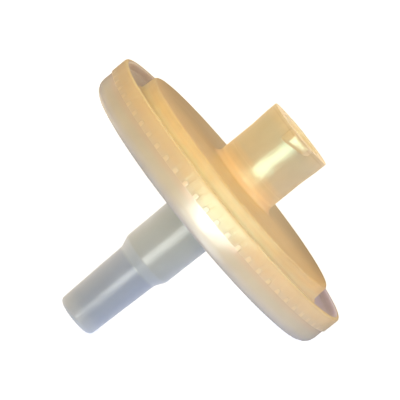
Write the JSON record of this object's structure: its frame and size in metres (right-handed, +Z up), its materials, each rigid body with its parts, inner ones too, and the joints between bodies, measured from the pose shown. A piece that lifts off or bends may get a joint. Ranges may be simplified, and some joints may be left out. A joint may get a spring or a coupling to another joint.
{
  "type": "syringe filter",
  "caption": "Round disc filter for a syringe: two translucent plastic shells over a membrane, with a Luer-lock inlet socket and a tapered outlet nozzle.",
  "frame": {"origin": "on the bench under the middle of the filter's bounding box, as it lies on its disc's edge and its nozzle's tip", "axes": "+Z up; the filter's own axis is in the XZ plane, with the inlet towards +X and up, about 40 degrees above the bench; +Y is along the disc's diameter, the longest extent"},
  "size_m": [0.0236, 0.0284, 0.0234],
  "materials": {
    "housing_inlet": "translucent natural polypropylene, satin",
    "housing_outlet": "translucent natural polypropylene, satin",
    "membrane": "white microporous film"
  },
  "bodies": {
    "root": {"inlet_housing": "housing_inlet", "outlet_housing": "housing_outlet", "membrane": "membrane"}
  },
  "joints": []
}
